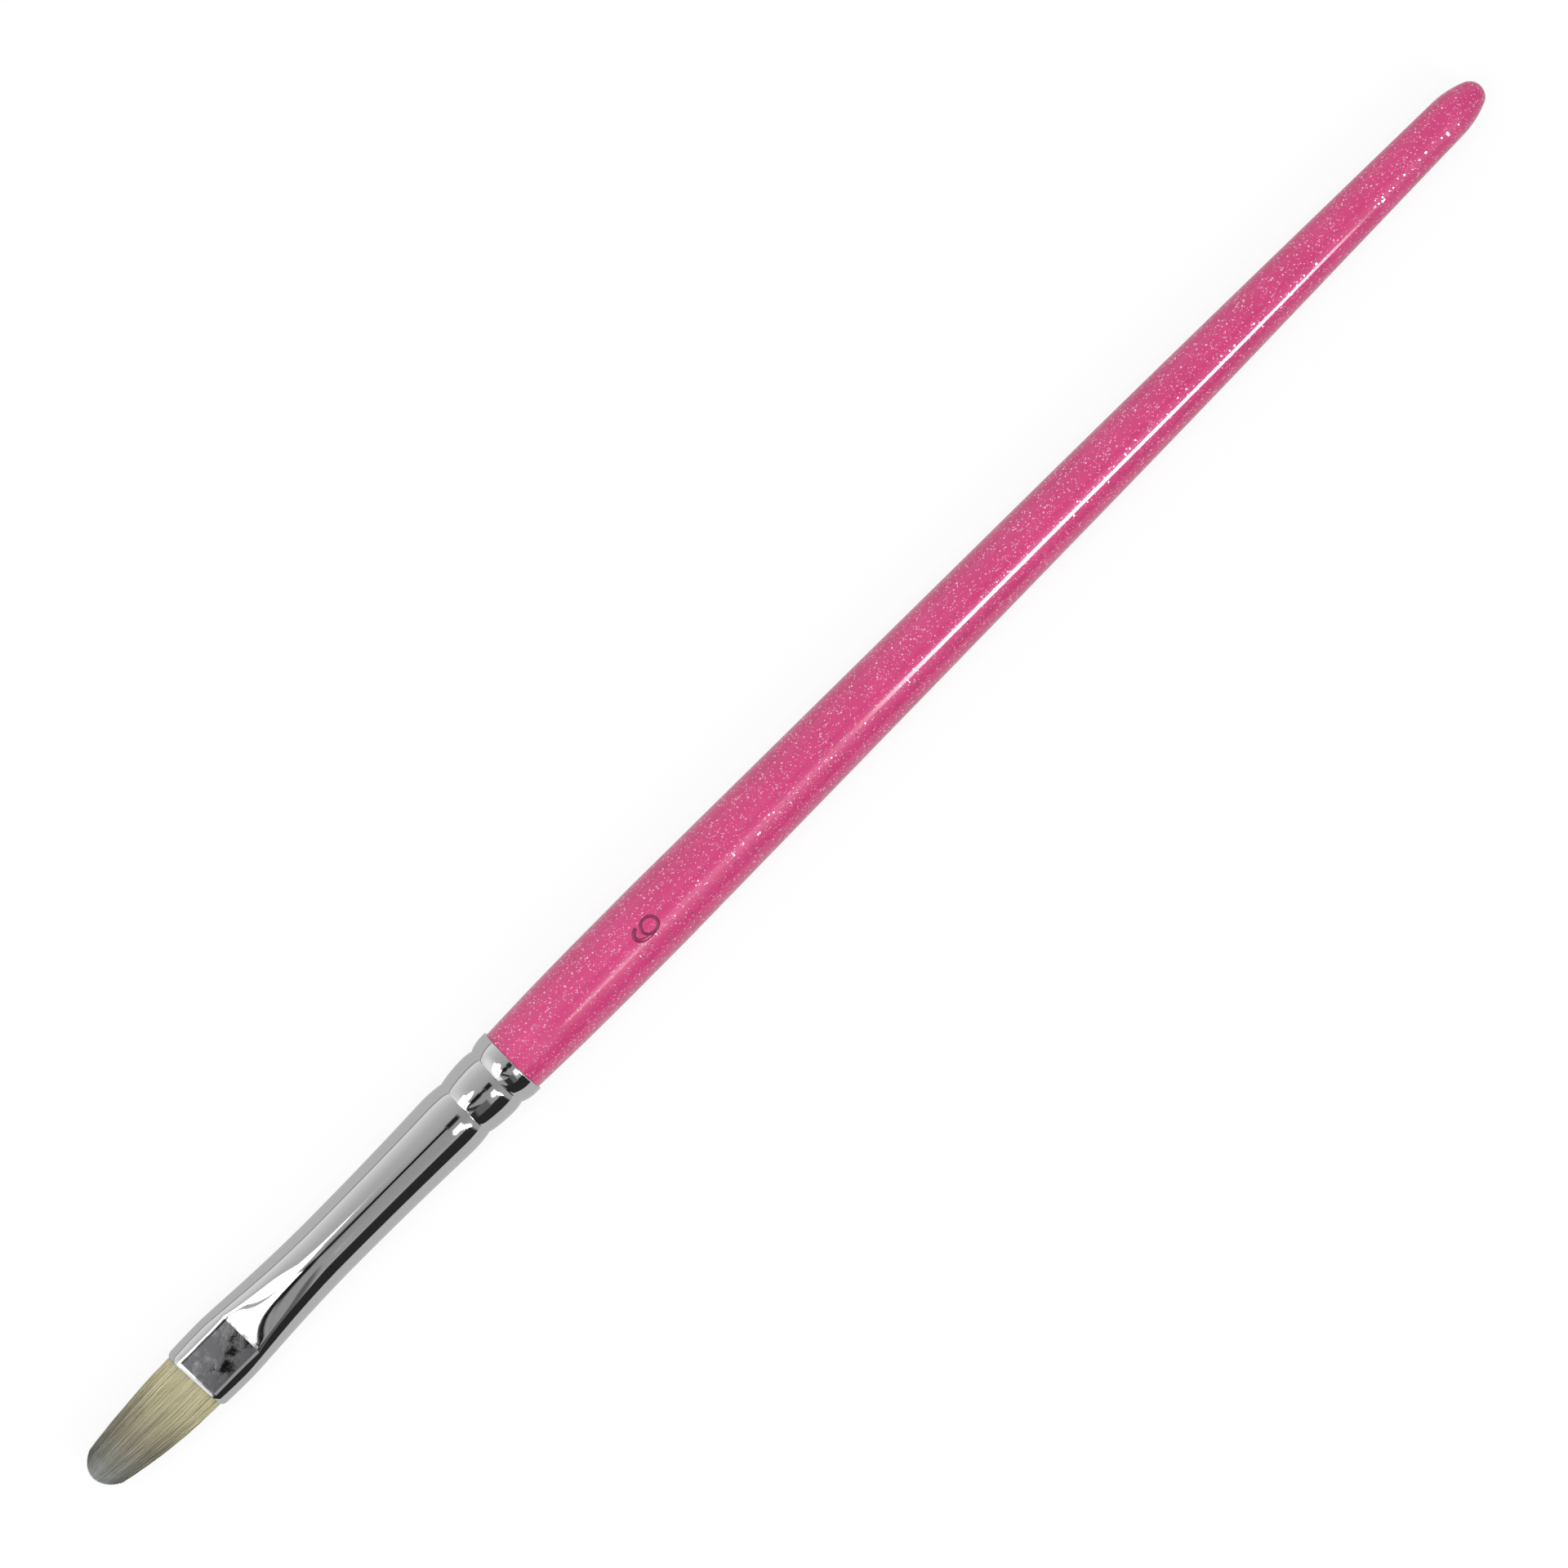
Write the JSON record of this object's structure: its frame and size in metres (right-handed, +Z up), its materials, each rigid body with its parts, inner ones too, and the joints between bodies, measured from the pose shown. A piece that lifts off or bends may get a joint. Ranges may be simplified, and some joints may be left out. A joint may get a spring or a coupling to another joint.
{
  "type": "acrylic nail brush",
  "caption": "Slim flat-tipped nail brush with a hair tuft in a pinched and crimped metal ferrule on a turned, glitter-lacquered wooden handle.",
  "frame": {"origin": "on the surface the brush lies on, under the middle of its length", "axes": "+X along the brush from the tuft's tip to the end of the handle, +Y across it, +Z up, square to the ferrule's flat panels"},
  "size_m": [0.18, 0.0072, 0.0072],
  "materials": {
    "plated_metal": "polished",
    "hair": "satin",
    "thread": "matte",
    "cement": "satin",
    "turned_wood": "matte",
    "glitter_lacquer": "gloss"
  },
  "bodies": {
    "root": {"ferrule": "plated_metal", "tuft": "hair", "binding_thread": "thread", "root_plug": "cement", "handle_core": "turned_wood", "lacquer_coat": "glitter_lacquer", "tenon_glue": "cement"}
  },
  "joints": []
}
